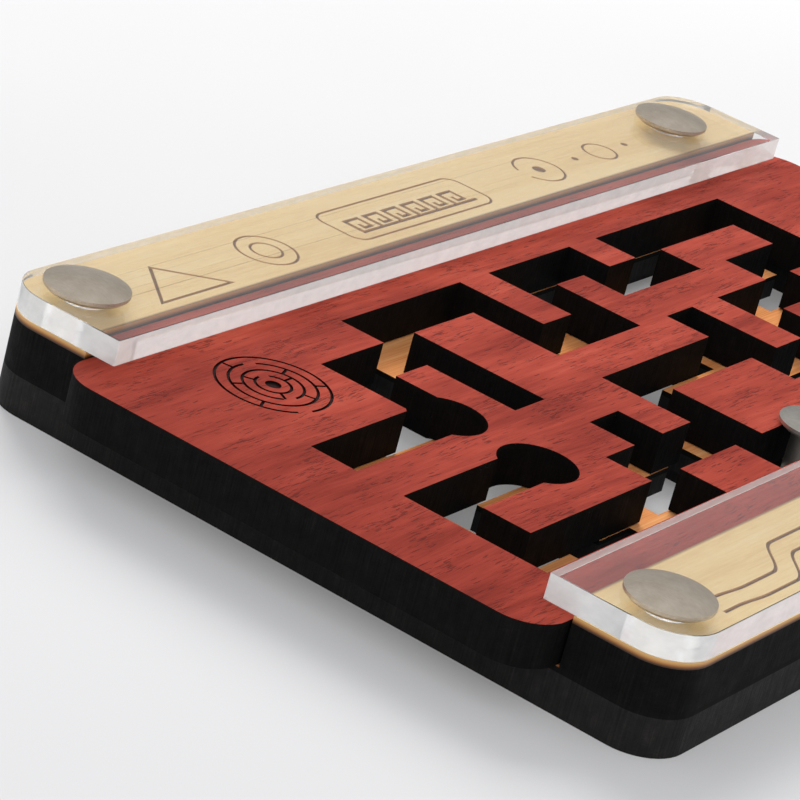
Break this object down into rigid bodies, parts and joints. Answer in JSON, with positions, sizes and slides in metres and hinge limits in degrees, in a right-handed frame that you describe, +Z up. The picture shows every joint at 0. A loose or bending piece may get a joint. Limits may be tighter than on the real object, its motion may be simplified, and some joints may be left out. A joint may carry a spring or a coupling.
{
  "type": "sliding maze puzzle",
  "caption": "Wooden hand puzzle: a maze plate slides between side rails under clear strips, over a second maze, with a shouldered pin running through both.",
  "frame": {"origin": "on the surface the puzzle rests on, under the middle of the maze plate at rest, which is also the middle of the whole outline", "axes": "+X along the slide, away from the end with the two round bays; +Y across it towards the back rail; +Z up out of the maze plate's face"},
  "size_m": [0.15, 0.088, 0.0154],
  "materials": {
    "dark_board": "charred laser-cut edges",
    "light_veneer": "raw wood face",
    "black_board": "charred laser-cut edges",
    "red_veneer": "satin reddish-brown grained face",
    "maple_inlay": "pale, engraved lines",
    "clear_cover": "clear polished acrylic",
    "satin_metal": "satin plated",
    "runner_metal": "satin plated"
  },
  "bodies": {
    "frame": {"base_back": "dark_board", "base_board": "dark_board", "base_face": "light_veneer", "rail_back": "black_board", "rail_front": "black_board", "inlay_back": "maple_inlay", "inlay_front": "maple_inlay", "cover_back": "clear_cover", "cover_front": "clear_cover", "post_back_left": "satin_metal", "post_back_right": "satin_metal", "post_front_left": "satin_metal", "post_front_right": "satin_metal", "screw_back_left": "satin_metal", "screw_back_right": "satin_metal", "screw_front_left": "satin_metal", "screw_front_right": "satin_metal"},
    "maze_plate": {"maze_board": "black_board", "maze_face": "red_veneer"},
    "runner": {"runner_post": "runner_metal", "runner_screw": "runner_metal"}
  },
  "joints": [
    {"name": "plate_slide", "type": "slide", "parent": "frame", "child": "maze_plate", "axis": [1, 0, 0], "range_m": [-0.014, 0.004]},
    {"name": "runner_slide", "type": "slide", "parent": "frame", "child": "runner", "axis": [1, 0, 0], "range_m": [-0.006, 0.006]}
  ]
}
